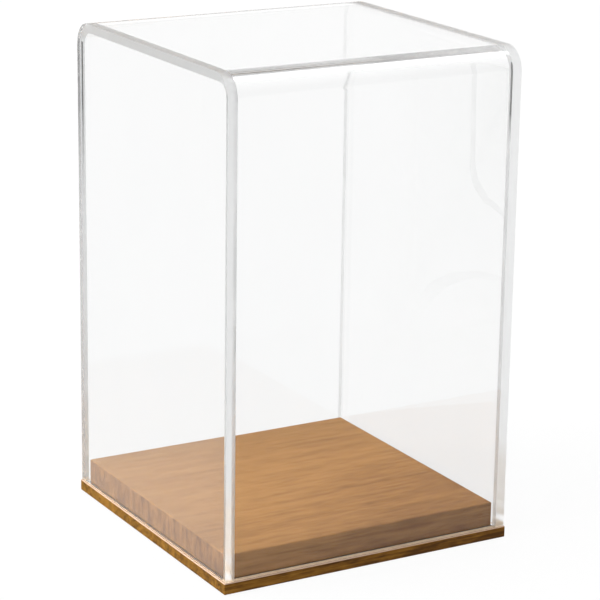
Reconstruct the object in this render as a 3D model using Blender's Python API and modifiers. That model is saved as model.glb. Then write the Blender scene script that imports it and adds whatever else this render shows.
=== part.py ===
"""Display case: a clear acrylic cover that lifts straight off a two-level hardwood base.

Blender 4.5, metres, +Z up. The case stands on Z = 0 with its middle on X = Y = 0. The wide face is -Y.
The cover is one sheet bent twice into a U (front, top, back), with a flat panel bonded over each end.
The base is a thin plinth board with a deck board screwed on it from below. The cover stands on the ledge
that the deck leaves around itself.
"""

from math import pi, radians

import bmesh
import bpy
from mathutils import Vector

# Base
PLINTH_SIDE = 0.2032
PLINTH_HEIGHT = 0.0071
DECK_HEIGHT = 0.015875
PLINTH_ARRIS = 0.0008
DECK_ARRIS = 0.0010
DECK_CLEARANCE = 0.0005  # between the deck's side and the cover's inner face

# Cover
SHEET = 0.00635
COVER_SIDE = 0.2018
COVER_HEIGHT = 0.3090
BEND_RADIUS = 0.0150  # of the bend's outer face
BEND_STEPS = 14
POLISHED_ARRIS = 0.0003

# Rubber feet, let into the plinth
FOOT_RADIUS = 0.0060
FOOT_HEIGHT = 0.0012
FOOT_PROUD = 0.0005  # how far a foot stands out of its recess
FOOT_EDGE = 0.0003
FOOT_INSET = 0.0170  # of a foot's middle from the plinth's side

# Countersunk wood screws, heads down
SCREW_INSET = 0.0420  # of a screw's axis from the plinth's side
SCREW_LENGTH = 0.0150
HEAD_RADIUS = 0.0034
HEAD_RIM = 0.0003
HEAD_HEIGHT = 0.0023
SHANK_RADIUS = 0.0016
SHANK_LENGTH = 0.0045  # plain stretch, head included
CREST_RADIUS = 0.0017
ROOT_RADIUS = 0.0012
THREAD_PITCH = 0.0015
POINT_LENGTH = 0.0025
HEAD_SUNK = 0.0004  # below the board's face
DRIVE_LENGTH = 0.0036
DRIVE_WIDTH = 0.0008
DRIVE_DEPTH = 0.0012

GAP = 0.0003  # between pieces that touch
CUT_MARGIN = 0.0010  # a cutter's reach past the face that it opens

# Heights and sides that follow
PLINTH_BOTTOM = FOOT_PROUD
RECESS_DEPTH = FOOT_HEIGHT - FOOT_PROUD + GAP
PLINTH_TOP = PLINTH_BOTTOM + PLINTH_HEIGHT
DECK_BOTTOM = PLINTH_TOP + GAP
COVER_BOTTOM = PLINTH_TOP + GAP
COVER_TOP = COVER_BOTTOM + COVER_HEIGHT
DECK_SIDE = COVER_SIDE - 2 * (SHEET + DECK_CLEARANCE)
PANEL_X = (COVER_SIDE - SHEET) / 2
BENT_SHEET_WIDTH = COVER_SIDE - 2 * (SHEET + GAP)

CORNERS = {
    "front_left": (-1, -1),
    "front_right": (1, -1),
    "back_left": (-1, 1),
    "back_right": (1, 1),
}


def clear_scene():
    for old in list(bpy.data.objects):
        bpy.data.objects.remove(old, do_unlink=True)


def new_collection(name):
    collection = bpy.data.collections.new(name)
    bpy.context.scene.collection.children.link(collection)
    return collection


def material(name, colour, roughness, metallic=0.0, transmission=0.0, ior=1.5):
    made = bpy.data.materials.new(name)
    made.use_nodes = True
    shader = made.node_tree.nodes["Principled BSDF"]
    shader.inputs["Base Color"].default_value = (*colour, 1.0)
    shader.inputs["Roughness"].default_value = roughness
    shader.inputs["Metallic"].default_value = metallic
    shader.inputs["Transmission Weight"].default_value = transmission
    shader.inputs["IOR"].default_value = ior
    return made


def empty(name, location, collection):
    made = bpy.data.objects.new(name, None)
    made.empty_display_size = 0.03
    made.location = location
    collection.objects.link(made)
    return made


def add_object(name, mesh, collection, location=(0, 0, 0), parent=None, finish=None):
    """The mesh as an object at this place in the world, under a parent that isn't turned or scaled."""
    made = bpy.data.objects.new(name, mesh)
    collection.objects.link(made)
    made.location = Vector(location)
    if parent:
        made.parent = parent
        made.location -= parent.location
    if finish and not mesh.materials:
        mesh.materials.append(finish)
    return made


def box_shape(size):
    shape = bmesh.new()
    bmesh.ops.create_cube(shape, size=1.0)
    bmesh.ops.scale(shape, vec=Vector(size), verts=shape.verts)
    return shape


def to_mesh(shape, name):
    mesh = bpy.data.meshes.new(name)
    shape.to_mesh(mesh)
    shape.free()
    return mesh


def soften(made, width, segments=2, angle=40):
    """Rounds every sharp edge a little."""
    bevel = made.modifiers.new("Softened edges", "BEVEL")
    bevel.width = width
    bevel.segments = segments
    bevel.limit_method = "ANGLE"
    bevel.angle_limit = radians(angle)
    return bevel


def turned(name, profile, steps, collection):
    """A profile of (radius, height), down its outer side from one end of the Z axis to the other, turned."""
    mesh = bpy.data.meshes.new(name)
    edges = [(i, i + 1) for i in range(len(profile) - 1)]
    mesh.from_pydata([(radius, 0.0, height) for radius, height in profile], edges, [])
    made = bpy.data.objects.new(name, mesh)
    collection.objects.link(made)
    screw = made.modifiers.new("Turned", "SCREW")
    screw.angle = 2 * pi
    screw.steps = steps
    screw.render_steps = steps
    screw.use_merge_vertices = True
    screw.merge_threshold = 0.00001
    return made


def finished_mesh(made, name):
    """The object's mesh with its modifiers applied, to be shared by the copies."""
    graph = bpy.context.evaluated_depsgraph_get()
    mesh = bpy.data.meshes.new_from_object(made.evaluated_get(graph))
    mesh.name = name
    mesh.shade_smooth()
    mesh.set_sharp_from_angle(angle=radians(35))
    return mesh


def as_cutter(made):
    made.hide_render = True
    made.display_type = "WIRE"
    return made


def cut(made, cutter):
    boolean = made.modifiers.new("Cut " + cutter.name, "BOOLEAN")
    boolean.operation = "DIFFERENCE"
    boolean.solver = "EXACT"
    boolean.object = cutter


def corner_points(inset, height):
    """One point for each corner of the base, this far in from the plinth's sides."""
    reach = PLINTH_SIDE / 2 - inset
    return {name: (x * reach, y * reach, height) for name, (x, y) in CORNERS.items()}


# ---- Base -------------------------------------------------------------------------------------------


def hole_cutters(cutters):
    """A countersunk clearance hole that goes on as a pilot hole, for each screw."""
    wide = CREST_RADIUS + GAP
    head = HEAD_RADIUS + GAP
    cone_top = HEAD_SUNK + HEAD_HEIGHT
    blind_end = HEAD_SUNK + SCREW_LENGTH + GAP
    profile = [(0, blind_end), (wide, blind_end), (wide, cone_top)]
    profile += [(head, HEAD_SUNK + HEAD_RIM), (head, -CUT_MARGIN), (0, -CUT_MARGIN)]
    made = []
    for corner, point in corner_points(SCREW_INSET, PLINTH_BOTTOM).items():
        cutter = turned("hole_cutter_" + corner, profile, 24, cutters)
        cutter.location = point
        made.append(as_cutter(cutter))
    return made


def recess_cutters(cutters):
    """A flat-bottomed round recess for each foot."""
    wall = FOOT_RADIUS + GAP
    profile = [(0, RECESS_DEPTH), (wall, RECESS_DEPTH), (wall, -CUT_MARGIN), (0, -CUT_MARGIN)]
    made = []
    for corner, point in corner_points(FOOT_INSET, PLINTH_BOTTOM).items():
        cutter = turned("recess_cutter_" + corner, profile, 40, cutters)
        cutter.location = point
        made.append(as_cutter(cutter))
    return made


def board(name, side, bottom, height, collection, parent, finish):
    """A square board, with its edges and corners still sharp."""
    mesh = to_mesh(box_shape((side, side, height)), name)
    middle = (0, 0, bottom + height / 2)
    return add_object(name, mesh, collection, middle, parent, finish)


def work_board(made, arris, holes):
    soften(made, arris, segments=3)
    for hole in holes:
        cut(made, hole)


def screw_profile():
    """From the point down the thread and the shank to the flat of the head."""
    profile = [(0, SCREW_LENGTH), (ROOT_RADIUS * 0.5, SCREW_LENGTH - POINT_LENGTH / 2)]
    height = SCREW_LENGTH - POINT_LENGTH
    while height - THREAD_PITCH > SHANK_LENGTH:
        profile.append((ROOT_RADIUS, height))
        profile.append((CREST_RADIUS, height - THREAD_PITCH / 2))
        height -= THREAD_PITCH
    profile += [(ROOT_RADIUS, height), (SHANK_RADIUS, SHANK_LENGTH)]
    profile += [(SHANK_RADIUS, HEAD_HEIGHT), (HEAD_RADIUS, HEAD_RIM), (HEAD_RADIUS, 0), (0, 0)]
    return profile


def screw_mesh(cutters):
    """One screw, point up, with a cross recess in its head, made once for all the copies."""
    pattern = turned("screw_pattern", screw_profile(), 24, cutters)
    blades = []
    for name, size in {
        "drive_blade_x": (DRIVE_LENGTH, DRIVE_WIDTH, 2 * DRIVE_DEPTH),
        "drive_blade_y": (DRIVE_WIDTH, DRIVE_LENGTH, 2 * DRIVE_DEPTH),
    }.items():
        blade = add_object(name, to_mesh(box_shape(size), name), cutters)
        cut(pattern, as_cutter(blade))
        blades.append(blade)
    mesh = finished_mesh(pattern, "wood_screw")
    for helper in (pattern, *blades):
        bpy.data.objects.remove(helper, do_unlink=True)
    return mesh


def add_screws(finish, collection, cutters, parent):
    mesh = screw_mesh(cutters)
    for corner, point in corner_points(SCREW_INSET, PLINTH_BOTTOM + HEAD_SUNK).items():
        add_object("deck_screw_" + corner, mesh, collection, point, parent, finish)


def foot_mesh(cutters):
    """A low round bumper whose lower edge is rounded."""
    lip = FOOT_RADIUS - FOOT_EDGE
    profile = [(0, FOOT_HEIGHT), (FOOT_RADIUS, FOOT_HEIGHT), (FOOT_RADIUS, FOOT_EDGE)]
    profile += [(FOOT_RADIUS - FOOT_EDGE * 0.3, FOOT_EDGE * 0.3), (lip, 0), (0, 0)]
    pattern = turned("foot_pattern", profile, 40, cutters)
    mesh = finished_mesh(pattern, "bumper_foot")
    bpy.data.objects.remove(pattern, do_unlink=True)
    return mesh


def add_feet(finish, collection, cutters, parent):
    mesh = foot_mesh(cutters)
    for corner, point in corner_points(FOOT_INSET, 0).items():
        add_object("foot_" + corner, mesh, collection, point, parent, finish)


def add_base(collection, cutters):
    base = empty("base", (0, 0, 0), collection)
    plinth_wood = material("plinth_wood", (0.25, 0.11, 0.035), 0.50)
    deck_wood = material("deck_wood", (0.45, 0.25, 0.115), 0.50)
    zinc_steel = material("zinc_steel", (0.62, 0.60, 0.55), 0.35, metallic=1.0)
    rubber = material("grey_rubber", (0.06, 0.06, 0.06), 0.75)
    plinth = board(
        "plinth_board", PLINTH_SIDE, PLINTH_BOTTOM, PLINTH_HEIGHT, collection, base, plinth_wood
    )
    deck = board("deck_board", DECK_SIDE, DECK_BOTTOM, DECK_HEIGHT, collection, base, deck_wood)
    holes = hole_cutters(cutters)
    work_board(plinth, PLINTH_ARRIS, holes + recess_cutters(cutters))
    work_board(deck, DECK_ARRIS, holes)
    add_screws(zinc_steel, collection, cutters, base)
    add_feet(rubber, collection, cutters, base)


# ---- Cover ------------------------------------------------------------------------------------------


def bent_sheet_mesh():
    """The outer face of the U before it is bent round: a box without its bottom and its two ends."""
    shape = box_shape((BENT_SHEET_WIDTH, COVER_SIDE, COVER_HEIGHT))
    unwanted = [face for face in shape.faces if abs(face.normal.x) > 0.5 or face.normal.z < -0.5]
    bmesh.ops.delete(shape, geom=unwanted, context="FACES")
    return to_mesh(shape, "cover_bent_sheet")


def add_bent_sheet(finish, collection, parent):
    middle = (0, 0, COVER_BOTTOM + COVER_HEIGHT / 2)
    made = add_object("cover_bent_sheet", bent_sheet_mesh(), collection, middle, parent, finish)
    bend = soften(made, BEND_RADIUS, segments=BEND_STEPS)
    bend.name = "Line bends"
    thickness = made.modifiers.new("Sheet thickness", "SOLIDIFY")
    thickness.thickness = SHEET
    thickness.offset = -1
    thickness.use_even_offset = True
    soften(made, POLISHED_ARRIS, segments=1, angle=60)


def is_top_corner(edge):
    """Whether the edge runs through the panel's thickness, at its top."""
    first, second = (vert.co for vert in edge.verts)
    return min(first.z, second.z) > 0 and abs(first.x - second.x) > SHEET / 2


def end_panel_mesh():
    """A flat panel with its two top corners rounded to the bend."""
    shape = box_shape((SHEET, COVER_SIDE, COVER_HEIGHT))
    corners = [edge for edge in shape.edges if is_top_corner(edge)]
    bmesh.ops.bevel(
        shape,
        geom=corners,
        offset=BEND_RADIUS,
        segments=BEND_STEPS,
        profile=0.5,
        affect="EDGES",
        clamp_overlap=True,
    )
    return to_mesh(shape, "end_panel")


def add_end_panels(finish, collection, parent):
    mesh = end_panel_mesh()
    for side, x in (("left", -PANEL_X), ("right", PANEL_X)):
        middle = (x, 0, COVER_BOTTOM + COVER_HEIGHT / 2)
        panel = add_object(f"cover_{side}_panel", mesh, collection, middle, parent, finish)
        soften(panel, POLISHED_ARRIS, segments=1, angle=60)


def add_cover(collection):
    """The empty lies on the line along which the cover lifts off, where the cover meets the ledge."""
    lift = empty("cover_lift", (0, 0, COVER_BOTTOM), collection)
    acrylic = material("clear_acrylic", (0.97, 0.98, 0.98), 0.02, transmission=1.0, ior=1.49)
    add_bent_sheet(acrylic, collection, lift)
    add_end_panels(acrylic, collection, lift)


def main():
    clear_scene()
    collection = new_collection("display_case")
    cutters = new_collection("cutters")
    add_base(collection, cutters)
    add_cover(collection)


main()
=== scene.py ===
"""Looks for the display case: a bent and bonded clear acrylic cover on two oiled hardwood boards."""

import math

import bmesh
import bpy
from mathutils import Matrix, Vector


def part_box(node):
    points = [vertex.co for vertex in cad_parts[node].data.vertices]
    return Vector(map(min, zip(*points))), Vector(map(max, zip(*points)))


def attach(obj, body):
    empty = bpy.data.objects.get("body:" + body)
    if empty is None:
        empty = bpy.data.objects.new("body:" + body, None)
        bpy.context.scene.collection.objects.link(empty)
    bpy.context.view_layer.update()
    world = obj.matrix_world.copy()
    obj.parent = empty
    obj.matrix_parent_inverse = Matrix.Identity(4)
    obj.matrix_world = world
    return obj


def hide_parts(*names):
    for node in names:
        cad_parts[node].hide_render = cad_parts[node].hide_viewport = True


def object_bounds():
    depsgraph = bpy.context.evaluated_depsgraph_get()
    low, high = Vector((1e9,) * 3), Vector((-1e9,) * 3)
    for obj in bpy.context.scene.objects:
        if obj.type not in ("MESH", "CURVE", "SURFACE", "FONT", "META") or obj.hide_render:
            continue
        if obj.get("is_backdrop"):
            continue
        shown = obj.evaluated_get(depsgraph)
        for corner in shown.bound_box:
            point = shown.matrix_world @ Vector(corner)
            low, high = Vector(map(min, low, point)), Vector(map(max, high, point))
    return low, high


# Camera
CAMERA_AZIMUTH = -30.10  # degrees, round from the front
CAMERA_ELEVATION = 16.27
CAMERA_ROLL = 0.848
CAMERA_DISTANCE = 1.5646
CAMERA_LENS = 147.60  # mm
CAMERA_SENSOR = 36.0  # mm
AIM_HEIGHT = 0.151  # above the cover's foot
AIM_RIGHT = 0.00553  # how far the camera stands right of the aim, in its own frame
AIM_UP = -0.01306

# Acrylic
SHEET = 0.00635
BEND_RADIUS = 0.0150  # of the outer face
BEND_STEPS = 32
SEAM_LAP = 0.00003  # the bonded sheets run into each other by this much
FLUSH_STEP = 0.00002  # the bent sheet lies this far inside the end panels' edges
CHAMFER = 0.00030
CHAMFER_STEPS = 2
SAWN_WIDTH = 0.0028  # the saw's marks run along the outer part of the foot
SAWN_SKIN = 0.00003  # how far the sawn face of the foot reaches into the sheet, and out of it
SAWN_PALE = (0.97, 0.76, 0.54, 1.0)
SAWN_WARM = (0.94, 0.68, 0.44, 1.0)
TURNED_TO_X = (0.4, 0.6)  # a face counts as turned along X over these values of its normal's X
CLEAREST = (0.976, 0.977, 0.977, 1.0)
DULLEST = (0.966, 0.968, 0.968, 1.0)
HALF_GLEAM = (0.50, 0.50, 0.50, 1.0)
EDGE_HAZE = (0.30, 0.40)  # roughness of the cut edges
DEPTH_TINT = (0.66, 0.675, 0.675, 1.0)
DEPTH_DENSITY = 2.0

# Painted shade at the seams between the sheets: each a dark line painted into the bent sheet's cut end, with
# the side in X and in Y that it is on, the depths from the outer face that it lies between, and the heights
# at which it starts to show, is full and ends
SEAM_SHADE_LINES = (
    (-1.0, 1.0, 0.0014, 0.0036, 0.190, 0.262, 0.3035),
    (1.0, -1.0, 0.0002, 0.0036, 0.258, 0.276, 0.3080),
)
# The colour of the painted shade at the seams
SEAM_SHADE_TINT = (0.015, 0.015, 0.015, 1.0)

# Boards. A wood's shift takes it from another part of the log, and its figure is the contrast of its grain.
PLINTH_ARRIS = 0.0006
DECK_ARRIS = 0.0010
ARRIS_STEPS = 4
CONTACT = 0.00006  # the cover's foot stands this far above the plinth
RING_WIDTH = 0.0042
PAINTED_SHADE_WAY = Vector((0.55, -0.83, 0.0))  # painted shade: both boards are painted a little darker this way, away from the key light
DECK_WOOD = {
    "pale": (0.50, 0.250, 0.074, 1.0),
    "middle": (0.40, 0.190, 0.050, 1.0),
    "dark": (0.24, 0.100, 0.022, 1.0),
    "end": (0.42, 0.35, 0.29, 1.0),
    "heart": (0.0, 0.03, -0.16),
    "shift": (0.0, 0.0, 0.0),
    "figure": 1.0,
}
PLINTH_WOOD = {
    "pale": (0.230, 0.105, 0.014, 1.0),
    "middle": (0.158, 0.067, 0.006, 1.0),
    "dark": (0.065, 0.024, 0.002, 1.0),
    "end": (0.60, 0.64, 0.53, 1.0),
    "heart": (0.0, -0.04, -0.10),
    "shift": (3.7, 0.0, 0.0),
    "figure": 2.2,
}
# Painted highlight: a pale colour standing for the light that the plinth's upper arris catches
ARRIS_HIGHLIGHT_WOOD = (0.50, 0.35, 0.26, 1.0)
HIGHLIGHT_FADE = 0.0004  # the painted highlight on the arris fades over this much
HIGHLIGHT_BELOW = 0.0001  # and starts this far below the arris

# Screws, feet and their holes
CLEARANCE = 0.0003  # round a screw or a foot
HEAD_RIM = 0.0003
COUNTERSINK = 0.0026
SHANK_SHARE = 0.55  # of the head's radius
SCREW_MARGIN = 0.002  # how far a screw's cutter reaches out of the wood
FOOT_MARGIN = 0.001
SCREW_SIDES = 32
FOOT_SIDES = 48
ZINC_WARM = (0.66, 0.62, 0.52, 1.0)
ZINC_COOL = (0.50, 0.50, 0.50, 1.0)
RUBBER_CLEAN = (0.030, 0.030, 0.030, 1.0)
RUBBER_DUSTY = (0.085, 0.080, 0.075, 1.0)

# Studio
FLOOR_DROP = 0.00002  # the floor lies this far under the feet
FLOOR_REACH = 9.0
FLOOR_GREY = (0.035, 0.035, 0.035, 1.0)
FLOOR_GLOW = 0.935
WHITE = (1.0, 1.0, 1.0, 1.0)
UPWARD = Vector((0.0, 0.0, 1.0))
KEY_WAY = Vector((-0.80, 0.20, 0.56)).normalized()
KEY_STRENGTH = 7.0
OVERHEAD_STRENGTH = 1.15
FRONT_WAY = Vector((0.30, -0.95, 0.10)).normalized()
ROOM_BACK = 1.0
ROOM_FRONT = 0.30
LIGHT_BOUNCES = 64  # light runs a long way inside the sheets


# ---- Node trees -------------------------------------------------------------------------------------


class Tree:
    """One node tree. add() makes a node, sets its properties and sets or links its inputs."""

    def __init__(self, nodes_of):
        nodes_of.use_nodes = True
        self.tree = nodes_of.node_tree
        self.tree.nodes.clear()

    def add(self, kind, inputs=None, **properties):
        node = self.tree.nodes.new(kind)
        for name, value in properties.items():
            setattr(node, name, value)
        for name, value in (inputs or {}).items():
            self.put(node.inputs[name], value)
        return node

    def put(self, socket, value):
        if isinstance(value, bpy.types.NodeSocket):
            self.tree.links.new(value, socket)
        elif isinstance(value, bpy.types.Node):
            self.tree.links.new(value.outputs[0], socket)
        else:
            socket.default_value = value

    def place(self):
        return self.add("ShaderNodeTexCoord").outputs["Object"]

    def normal(self):
        return self.add("ShaderNodeNewGeometry").outputs["Normal"]

    def parts(self, vector):
        return self.add("ShaderNodeSeparateXYZ", {0: vector}).outputs

    def math(self, operation, first, second=0.0, clamp=False):
        inputs = {0: first, 1: second}
        return self.add("ShaderNodeMath", inputs, operation=operation, use_clamp=clamp).outputs[0]

    def product(self, *shares):
        result = shares[0]
        for share in shares[1:]:
            result = self.math("MULTIPLY", result, share)
        return result

    def vector(self, operation, first, second=(0.0, 0.0, 0.0)):
        inputs = {0: first, 1: second}
        return self.add("ShaderNodeVectorMath", inputs, operation=operation).outputs["Vector"]

    def dot(self, first, second):
        inputs = {0: first, 1: second}
        return self.add("ShaderNodeVectorMath", inputs, operation="DOT_PRODUCT").outputs["Value"]

    def length(self, vector):
        return self.add("ShaderNodeVectorMath", {0: vector}, operation="LENGTH").outputs["Value"]

    def ranged(self, value, low, high, to_low=0.0, to_high=1.0, smooth=False):
        inputs = {"Value": value, "From Min": low, "From Max": high, "To Min": to_low, "To Max": to_high}
        interpolation = "SMOOTHSTEP" if smooth else "LINEAR"
        return self.add("ShaderNodeMapRange", inputs, interpolation_type=interpolation).outputs["Result"]

    def noise(self, vector, scale, detail=2.0, roughness=0.5, output=0):
        """Noise with about this many grains to the metre along each axis."""
        stretched = self.vector("MULTIPLY", vector, scale)
        inputs = {"Vector": stretched, "Scale": 1.0, "Detail": detail, "Roughness": roughness}
        return self.add("ShaderNodeTexNoise", inputs).outputs[output]

    def mix(self, share, first, second, blend="MIX"):
        node = self.add("ShaderNodeMix", data_type="RGBA", blend_type=blend)
        self.put(node.inputs[0], share)
        self.put(node.inputs[6], first)
        self.put(node.inputs[7], second)
        return node.outputs[2]

    def surface(self, volume=None, **inputs):
        """The material's surface, whose inputs are written with underscores for spaces."""
        named = {name.replace("_", " "): value for name, value in inputs.items()}
        shader = self.add("ShaderNodeBsdfPrincipled", named)
        output = self.add("ShaderNodeOutputMaterial", {"Surface": shader})
        if volume:
            self.put(output.inputs["Volume"], volume)


def material(name):
    made = bpy.data.materials.new(name)
    return made, Tree(made)


# ---- Acrylic ----------------------------------------------------------------------------------------


def paint_seam_shade(tree, place):
    """Painted shade: dark lines painted into the bent sheet's cut end, where it meets the end panels."""
    x, y, z = (tree.parts(place)[axis] for axis in "XYZ")
    wall = box_of("cover_left_panel")[1].y
    depth = tree.math("SUBTRACT", wall, tree.math("ABSOLUTE", y))
    found = 0.0
    for side_x, side_y, near, far, start, full, end in SEAM_SHADE_LINES:
        here = tree.product(
            tree.math("GREATER_THAN", tree.math("MULTIPLY", x, side_x), 0.0),
            tree.math("GREATER_THAN", tree.math("MULTIPLY", y, side_y), 0.0),
            tree.math("GREATER_THAN", depth, near),
            tree.math("LESS_THAN", depth, far),
            tree.ranged(z, start, full),
            tree.math("LESS_THAN", z, end),
        )
        found = tree.math("MAXIMUM", found, here)
    return found


def clear_acrylic(name, cut_edge, seam_shade=False):
    """Clear faces and hazy cut edges. cut_edge is the edges' share across and along X."""
    made, tree = material(name)
    place = tree.place()
    facing_x = tree.math("ABSOLUTE", tree.parts(tree.normal())["X"])
    above_foot = tree.math("GREATER_THAN", tree.parts(place)["Z"], cover_foot + CHAMFER)
    edge = tree.product(tree.ranged(facing_x, *TURNED_TO_X, *cut_edge), above_foot)
    smears = tree.noise(place, (14, 14, 9), detail=4.0, roughness=0.6)
    lines = tree.noise(place, (700, 60, 60))
    faces = tree.ranged(smears, 0.62, 0.80, 0.0, 0.006)
    edges = tree.product(edge, tree.ranged(lines, 0.35, 0.65, *EDGE_HAZE))
    tint = tree.mix(tree.ranged(smears, 0.30, 0.70), CLEAREST, DULLEST)
    if seam_shade:
        # Painted shade: the seam lines darken the cut end's tint
        dark = tree.product(tree.ranged(facing_x, *TURNED_TO_X), paint_seam_shade(tree, place))
        tint = tree.mix(dark, tint, SEAM_SHADE_TINT)
    tree.surface(
        volume=tree.add("ShaderNodeVolumeAbsorption", {"Color": DEPTH_TINT, "Density": DEPTH_DENSITY}),
        Base_Color=tint,
        Roughness=tree.math("ADD", faces, edges),
        IOR=1.49,
        Specular_Tint=HALF_GLEAM,
        Transmission_Weight=1.0,
    )
    return made


def sawn_acrylic():
    """The foot of the cover, as the saw left it: pale, with its fine marks across the edge."""
    made, tree = material("sawn_acrylic")
    place = tree.place()
    marks = tree.noise(place, (1500, 1500, 100))
    clouds = tree.noise(place, (120, 120, 120))
    mark_share = tree.ranged(marks, 0.3, 0.7, 0.0, 0.5)
    cloud_share = tree.ranged(clouds, 0.3, 0.7, 0.0, 0.5)
    colour = tree.mix(tree.math("ADD", mark_share, cloud_share), SAWN_PALE, SAWN_WARM)
    bump = tree.add("ShaderNodeBump", {"Height": marks, "Strength": 0.3, "Distance": 0.00003})
    tree.surface(Base_Color=colour, Roughness=0.7, Normal=bump)
    return made


# ---- Wood -------------------------------------------------------------------------------------------


def round_the_heart(tree, place, heart):
    """The place as seen from the heart line, which wanders along the board."""
    wander = tree.noise(place, (2.6, 11, 11), output="Color")
    wander = tree.vector("SUBTRACT", wander, (0.5, 0.5, 0.5))
    wander = tree.vector("MULTIPLY", wander, (0, 0.030, 0.030))
    return tree.vector("SUBTRACT", tree.vector("ADD", place, wander), heart)


def late_wood(tree, bent):
    """The darker part of each growth ring, which comes in slowly and ends at once."""
    radius = tree.length(tree.vector("MULTIPLY", bent, (0, 1, 1)))
    ring = tree.math("FRACT", tree.math("DIVIDE", radius, RING_WIDTH))
    return tree.product(tree.ranged(ring, 0.35, 0.93, smooth=True), tree.ranged(ring, 0.93, 1.0, 1.0, 0.0))


def grain(tree, place, bent, fibre, pores):
    """How much darker the rings, fibres, streaks, flecks, blotches and pores make the wood."""
    streak = tree.noise(place, (7, 120, 120))
    fleck = tree.noise(bent, (70, 260, 260), detail=3.0, roughness=0.55)
    blotch = tree.noise(place, (9, 18, 18), detail=3.0)
    tone = tree.math("MULTIPLY", late_wood(tree, bent), 0.10)
    tone = tree.math("ADD", tone, tree.ranged(fibre, 0.30, 0.70, -0.15, 0.16))
    tone = tree.math("ADD", tone, tree.ranged(streak, 0.30, 0.70, -0.10, 0.12))
    tone = tree.math("ADD", tone, tree.ranged(fleck, 0.30, 0.75, -0.17, 0.22))
    tone = tree.math("ADD", tone, tree.ranged(blotch, 0.30, 0.70, -0.08, 0.08))
    return tree.math("ADD", tone, tree.math("MULTIPLY", pores, 0.16))


def painted_arris_highlight(tree, spot, fibre):
    """Where the plinth's upper arris is painted pale, as a painted highlight of the light it catches."""
    start = cover_foot - PLINTH_ARRIS - HIGHLIGHT_BELOW
    rim = box_of("plinth_board")[1].x - PLINTH_ARRIS
    parts = tree.parts(spot)
    out = tree.math("MAXIMUM", tree.math("ABSOLUTE", parts["X"]), tree.math("ABSOLUTE", parts["Y"]))
    return tree.product(
        tree.ranged(parts["Z"], start, start + HIGHLIGHT_FADE),
        tree.ranged(fibre, 0.3, 0.7, 0.75, 1.0),
        tree.ranged(out, rim - HIGHLIGHT_FADE, rim),
    )


def hardwood(name, wood, arris_highlight=False):
    """Oiled hardwood with its grain along X."""
    made, tree = material(name)
    spot = tree.place()
    place = tree.vector("ADD", spot, wood["shift"])
    bent = round_the_heart(tree, place, wood["heart"])
    fibre = tree.noise(place, (12, 620, 620), detail=3.0, roughness=0.6)
    pores = tree.ranged(tree.noise(place, (60, 1900, 1900), detail=1.0), 0.60, 0.70)

    # The tone runs from pale at 0 to dark at 1
    figure = tree.math("MULTIPLY", grain(tree, place, bent, fibre, pores), wood["figure"])
    # Painted shade: the tone darkens towards the front right, away from the key light at the upper left
    painted_shade = tree.ranged(tree.dot(spot, PAINTED_SHADE_WAY), -0.10, 0.10, 0.12, 0.68)
    tone = tree.math("ADD", figure, painted_shade, clamp=True)
    colour = tree.mix(tree.ranged(tone, 0.0, 0.5), wood["pale"], wood["middle"])
    colour = tree.mix(tree.ranged(tone, 0.5, 1.0), colour, wood["dark"])

    # The end grain is darker and speckled
    facing_x = tree.math("ABSOLUTE", tree.parts(tree.normal())["X"])
    end = tree.ranged(facing_x, 0.55, 0.85, smooth=True)
    speckle = tree.noise(place, (1, 230, 60), detail=3.0, roughness=0.7)
    speckled = tree.product(end, tree.ranged(speckle, 0.35, 0.65, 0.20, 1.0))
    colour = tree.mix(speckled, colour, wood["end"], blend="MULTIPLY")
    # Painted highlight: the plinth's upper arris is painted pale for the light it catches
    if arris_highlight:
        colour = tree.mix(painted_arris_highlight(tree, spot, fibre), colour, ARRIS_HIGHLIGHT_WOOD)

    relief = tree.math("SUBTRACT", tree.math("MULTIPLY", fibre, 0.5), pores)
    bump = tree.add("ShaderNodeBump", {"Height": relief, "Strength": 0.12, "Distance": 0.0001})
    dry = tree.math("ADD", tree.ranged(fibre, 0.3, 0.7, 0.50, 0.64), tree.math("MULTIPLY", pores, 0.15))
    roughness = tree.math("ADD", dry, tree.math("MULTIPLY", end, 0.10))
    tree.surface(Base_Color=colour, Roughness=roughness, IOR=1.5, Normal=bump, Specular_IOR_Level=0.10)
    return made


# ---- Screws and feet --------------------------------------------------------------------------------


def zinc_plate():
    made, tree = material("zinc_plate")
    bloom = tree.noise(tree.place(), (900, 900, 900), detail=3.0)
    colour = tree.mix(tree.ranged(bloom, 0.35, 0.65), ZINC_WARM, ZINC_COOL)
    tree.surface(Base_Color=colour, Metallic=1.0, Roughness=tree.ranged(bloom, 0.3, 0.7, 0.22, 0.42))
    return made


def foot_rubber():
    made, tree = material("foot_rubber")
    place = tree.place()
    pits = tree.noise(place, (2600, 2600, 2600))
    dust = tree.noise(place, (300, 300, 300), detail=3.0)
    colour = tree.mix(tree.ranged(dust, 0.45, 0.75), RUBBER_CLEAN, RUBBER_DUSTY)
    bump = tree.add("ShaderNodeBump", {"Height": pits, "Strength": 0.3, "Distance": 0.00008})
    tree.surface(Base_Color=colour, Roughness=tree.ranged(pits, 0.3, 0.7, 0.62, 0.82), Normal=bump)
    return made


# ---- Shapes -----------------------------------------------------------------------------------------


def box_of(node):
    """The CAD node's low and high corners."""
    return [Vector(corner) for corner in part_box(node)]


def bridge(shape, ring, after):
    """Faces between two rings of as many vertices."""
    for i in range(len(ring)):
        j = (i + 1) % len(ring)
        shape.faces.new((ring[i], ring[j], after[j], after[i]))


def bevel(shape, edges, width, segments):
    bmesh.ops.bevel(shape, geom=edges, offset=width, segments=segments, profile=0.5, affect="EDGES")


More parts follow.
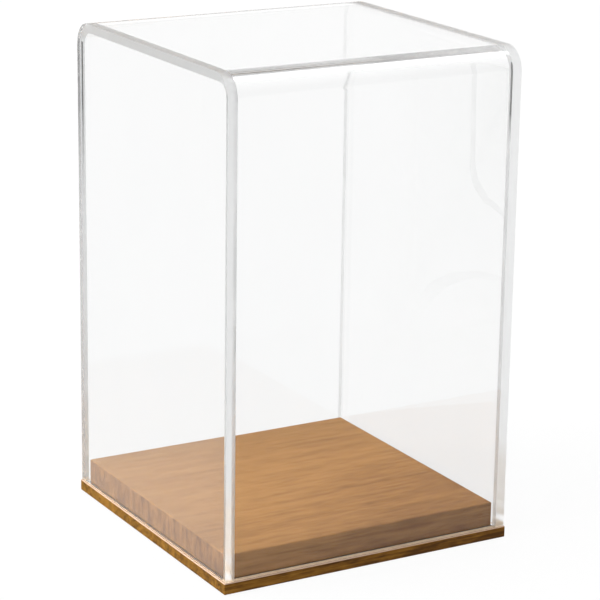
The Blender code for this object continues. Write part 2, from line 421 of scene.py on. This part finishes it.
def add_object(shape, name):
    """The bmesh as an object of the scene, its faces turned outward."""
    bmesh.ops.recalc_face_normals(shape, faces=shape.faces)
    mesh = bpy.data.meshes.new(name)
    shape.to_mesh(mesh)
    shape.free()
    made = bpy.data.objects.new(name, mesh)
    bpy.context.scene.collection.objects.link(made)
    return made


def add_piece(shape, name, finish, body, node):
    """The bmesh as a smooth-shaded piece that stands for a CAD node."""
    piece = add_object(shape, name)
    piece.data.shade_smooth()
    piece.data.set_sharp_from_angle(angle=math.radians(30))
    piece.data.materials.append(finish)
    normals = piece.modifiers.new("Flat faces stay flat", "WEIGHTED_NORMAL")
    normals.keep_sharp = True
    normals.weight = 100
    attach(piece, body)
    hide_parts(node)
    return piece


# ---- Cover ------------------------------------------------------------------------------------------


def sheet_path(low, high, radius):
    """Points up the front, over the top and down the back, each with its outward direction, in Y and Z."""
    front, back, bottom, top = low.y, high.y, low.z, high.z
    path = [((front, bottom), (-1.0, 0.0))]
    for middle_y, start in ((front + radius, math.pi), (back - radius, math.pi / 2)):
        for i in range(BEND_STEPS + 1):
            angle = start - math.pi / 2 * i / BEND_STEPS
            way = (math.cos(angle), math.sin(angle))
            path.append(((middle_y + radius * way[0], top - radius + radius * way[1]), way))
    path.append(((back, bottom), (1.0, 0.0)))
    return path


def bent_sheet(finish):
    """The U of the front, the top and the back, whose ends run into the end panels."""
    low, high = box_of("cover_bent_sheet")
    low.x = box_of("cover_left_panel")[1].x - SEAM_LAP
    high.x = box_of("cover_right_panel")[0].x + SEAM_LAP
    low += Vector((0, FLUSH_STEP, FLUSH_STEP))
    high -= Vector((0, FLUSH_STEP, FLUSH_STEP))
    shape = bmesh.new()
    rows = []
    for (y, z), (way_y, way_z) in sheet_path(low, high, BEND_RADIUS - FLUSH_STEP):
        inner = (y - way_y * SHEET, z - way_z * SHEET)
        corners = [(low.x, y, z), (high.x, y, z), (high.x, *inner), (low.x, *inner)]
        rows.append([shape.verts.new(corner) for corner in corners])
    for row, after in zip(rows, rows[1:]):
        bridge(shape, row, after)
    shape.faces.new(rows[0])
    shape.faces.new(list(reversed(rows[-1])))
    foot = low.z + CHAMFER / 10
    reach = high.y - SHEET / 2

    def on_outer_foot(edge):
        return all(v.co.z < foot and abs(v.co.y) > reach for v in edge.verts)

    bevel(shape, [edge for edge in shape.edges if on_outer_foot(edge)], CHAMFER, CHAMFER_STEPS)
    add_piece(shape, "bent_sheet_clear", finish, "cover", "cover_bent_sheet")


def end_panel(side, finish):
    """A flat panel over the bent sheet's cut edges, rounded with it, its outer rim and its foot eased."""
    node = f"cover_{side}_panel"
    low, high = box_of(node)
    outside, inside = (low.x, high.x) if side == "left" else (high.x, low.x)
    rim = [point for point, _ in sheet_path(low, high, BEND_RADIUS)]
    shape = bmesh.new()
    outer, inner = ([shape.verts.new((x, *point)) for point in rim] for x in (outside, inside))
    shape.faces.new(outer)
    shape.faces.new(list(reversed(inner)))
    bridge(shape, inner, outer)

    def on_outer_rim(edge):
        return all(abs(v.co.x - outside) < CHAMFER / 10 for v in edge.verts)

    bevel(shape, [edge for edge in shape.edges if on_outer_rim(edge)], CHAMFER, CHAMFER_STEPS)
    add_piece(shape, f"end_panel_{side}_clear", finish, "cover", node)


def sawn_foot(finish):
    """A skin over the flat of the cover's lower edge, all the way round, and widest along the front."""
    low, high = box_of("cover_left_panel")
    outer = high.y - CHAMFER
    inner = outer - SAWN_WIDTH
    front = low.y + SHEET
    outside = [(-outer, -outer), (outer, -outer), (outer, outer), (-outer, outer)]
    inside = [(-inner, front), (inner, front), (inner, inner), (-inner, inner)]
    bottom, top = cover_foot - SAWN_SKIN, cover_foot + SAWN_SKIN
    shape = bmesh.new()
    rings = []
    for corners, z in ((outside, bottom), (outside, top), (inside, top), (inside, bottom)):
        rings.append([shape.verts.new((*corner, z)) for corner in corners])
    for ring, after in zip(rings, rings[1:] + rings[:1]):
        bridge(shape, ring, after)
    piece = add_object(shape, "sawn_foot")
    piece.data.materials.append(finish)
    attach(piece, "cover")


def add_cover():
    bent_sheet(clear_acrylic("bent_acrylic", cut_edge=(0.0, 1.0), seam_shade=True))
    flat_acrylic = clear_acrylic("flat_acrylic", cut_edge=(1.0, 0.0))
    for side in ("left", "right"):
        end_panel(side, flat_acrylic)
    sawn_foot(sawn_acrylic())


# ---- Base -------------------------------------------------------------------------------------------


def turned_cutter(node, levels, sides):
    """A round cutter on the CAD node's upright middle line, with a radius at each height above its foot."""
    low, high = box_of(node)
    middle = (low + high) / 2
    shape = bmesh.new()
    rings = []
    for radius, height in levels:
        ring = []
        for i in range(sides):
            angle = 2 * math.pi * i / sides
            x, y = middle.x + radius * math.cos(angle), middle.y + radius * math.sin(angle)
            ring.append(shape.verts.new((x, y, low.z + height)))
        rings.append(ring)
    for ring, after in zip(rings, rings[1:]):
        bridge(shape, ring, after)
    shape.faces.new(list(reversed(rings[0])))
    shape.faces.new(rings[-1])
    return add_object(shape, "cutter_" + node)


def screw_hole(node):
    """The countersunk hole that a screw lies in."""
    low, high = box_of(node)
    head = (high.x - low.x) / 2 + CLEARANCE
    shank = head * SHANK_SHARE
    end = high.z - low.z + CLEARANCE
    levels = [(head, -SCREW_MARGIN), (head, HEAD_RIM), (shank, COUNTERSINK), (shank, end)]
    return turned_cutter(node, levels, SCREW_SIDES)


def foot_recess(node):
    """The flat recess that a foot is let into."""
    low, high = box_of(node)
    wall = (high.x - low.x) / 2 + CLEARANCE
    end = high.z - low.z + CLEARANCE
    return turned_cutter(node, [(wall, -FOOT_MARGIN), (wall, end)], FOOT_SIDES)


def drill(piece, cutters):
    """Cuts the holes for good, so that no cutter is left in the scene."""
    for cutter in cutters:
        boolean = piece.modifiers.new("Hole", "BOOLEAN")
        boolean.operation = "DIFFERENCE"
        boolean.object = cutter
        piece.modifiers.move(len(piece.modifiers) - 1, 0)
    graph = bpy.context.evaluated_depsgraph_get()
    mesh = bpy.data.meshes.new_from_object(piece.evaluated_get(graph))
    piece.modifiers.clear()
    piece.data = mesh


def board(node, top, arris, finish, cutters):
    """A board as the CAD has it, but reaching up to this height, where what stands on it touches it."""
    low, high = box_of(node)
    high.z = top
    shape = bmesh.new()
    bmesh.ops.create_cube(shape, size=1.0)
    bmesh.ops.scale(shape, vec=high - low, verts=shape.verts)
    bmesh.ops.translate(shape, vec=(low + high) / 2, verts=shape.verts)
    bevel(shape, list(shape.edges), arris, ARRIS_STEPS)
    piece = add_piece(shape, node + "_wood", finish, "base", node)
    drill(piece, cutters)


def add_base():
    screws = [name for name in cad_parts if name.startswith("deck_screw")]
    feet = [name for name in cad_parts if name.startswith("foot")]
    holes = [screw_hole(name) for name in screws]
    recesses = [foot_recess(name) for name in feet]
    deck_wood = hardwood("deck_wood", DECK_WOOD)
    plinth_wood = hardwood("plinth_wood", PLINTH_WOOD, arris_highlight=True)
    plinth_top = cover_foot - CONTACT
    board("plinth_board", plinth_top, PLINTH_ARRIS, plinth_wood, holes + recesses)
    board("deck_board", deck_top, DECK_ARRIS, deck_wood, holes)
    for cutter in holes + recesses:
        bpy.data.objects.remove(cutter, do_unlink=True)
    for names, finish in ((screws, zinc_plate()), (feet, foot_rubber())):
        for name in names:
            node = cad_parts[name]
            node.data.materials.clear()
            node.data.materials.append(finish)


# ---- Studio -----------------------------------------------------------------------------------------


def add_floor():
    """A floor that glows about as bright as the room, so that it looks even."""
    mesh = bpy.data.meshes.new("studio_floor")
    near, far = -FLOOR_REACH, FLOOR_REACH
    mesh.from_pydata([(near, near, 0), (far, near, 0), (far, far, 0), (near, far, 0)], [], [(0, 1, 2, 3)])
    floor = bpy.data.objects.new("studio_floor", mesh)
    floor.location.z = cad_low.z - FLOOR_DROP
    bpy.context.scene.collection.objects.link(floor)
    made, tree = material("studio_floor")
    tree.surface(
        Base_Color=FLOOR_GREY,
        Roughness=0.9,
        Specular_IOR_Level=0.0,
        Emission_Color=WHITE,
        Emission_Strength=FLOOR_GLOW,
    )
    mesh.materials.append(made)
    floor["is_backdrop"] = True


def add_world():
    """A broad light overhead, a soft key from the upper left, and a pale room, dimmer in front."""
    world = bpy.data.worlds.new("studio")
    bpy.context.scene.world = world
    tree = Tree(world)
    way = tree.add("ShaderNodeTexCoord").outputs["Generated"]
    overhead = tree.ranged(tree.dot(way, UPWARD), 0.30, 0.85, 0.0, OVERHEAD_STRENGTH, smooth=True)
    key = tree.ranged(tree.dot(way, KEY_WAY), 0.80, 0.97, 0.0, KEY_STRENGTH, smooth=True)
    room = tree.ranged(tree.dot(way, FRONT_WAY), -0.20, 0.75, ROOM_BACK, ROOM_FRONT, smooth=True)
    light = tree.math("ADD", tree.math("ADD", room, overhead), key)
    shader = tree.add("ShaderNodeBackground", {"Color": WHITE, "Strength": light})
    tree.add("ShaderNodeOutputWorld", {"Surface": shader})


def add_camera():
    azimuth, elevation = math.radians(CAMERA_AZIMUTH), math.radians(CAMERA_ELEVATION)
    flat = math.cos(elevation)
    back = Vector((math.sin(azimuth) * flat, -math.cos(azimuth) * flat, math.sin(elevation)))
    roll = Matrix.Rotation(math.radians(CAMERA_ROLL), 3, "Z")
    turn = back.to_track_quat("Z", "Y").to_matrix() @ roll
    aim = Vector((0, 0, cover_foot + AIM_HEIGHT))
    stand = aim + turn @ Vector((AIM_RIGHT, AIM_UP, CAMERA_DISTANCE))
    lens = bpy.data.cameras.new("camera")
    lens.sensor_width = CAMERA_SENSOR
    lens.lens = CAMERA_LENS
    lens.clip_start = 0.05
    lens.clip_end = 60.0
    camera = bpy.data.objects.new("camera", lens)
    camera.matrix_world = Matrix.Translation(stand) @ turn.to_4x4()
    bpy.context.scene.collection.objects.link(camera)
    bpy.context.scene.camera = camera


def set_picture():
    scene = bpy.context.scene
    scene.view_settings.view_transform = "Standard"
    scene.cycles.max_bounces = LIGHT_BOUNCES
    scene.cycles.transmission_bounces = LIGHT_BOUNCES
    scene.cycles.glossy_bounces = LIGHT_BOUNCES


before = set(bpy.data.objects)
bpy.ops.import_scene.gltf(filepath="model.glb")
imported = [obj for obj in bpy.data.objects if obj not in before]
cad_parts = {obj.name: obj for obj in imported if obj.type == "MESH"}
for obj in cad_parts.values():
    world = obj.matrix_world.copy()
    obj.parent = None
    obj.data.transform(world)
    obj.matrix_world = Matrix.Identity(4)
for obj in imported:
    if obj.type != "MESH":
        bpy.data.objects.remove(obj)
cad_low, cad_high = (Vector(corner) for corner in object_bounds())
cover_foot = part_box("cover_bent_sheet")[0][2]
deck_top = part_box("deck_board")[1][2]
add_cover()
add_base()
add_floor()
add_world()
add_camera()
set_picture()
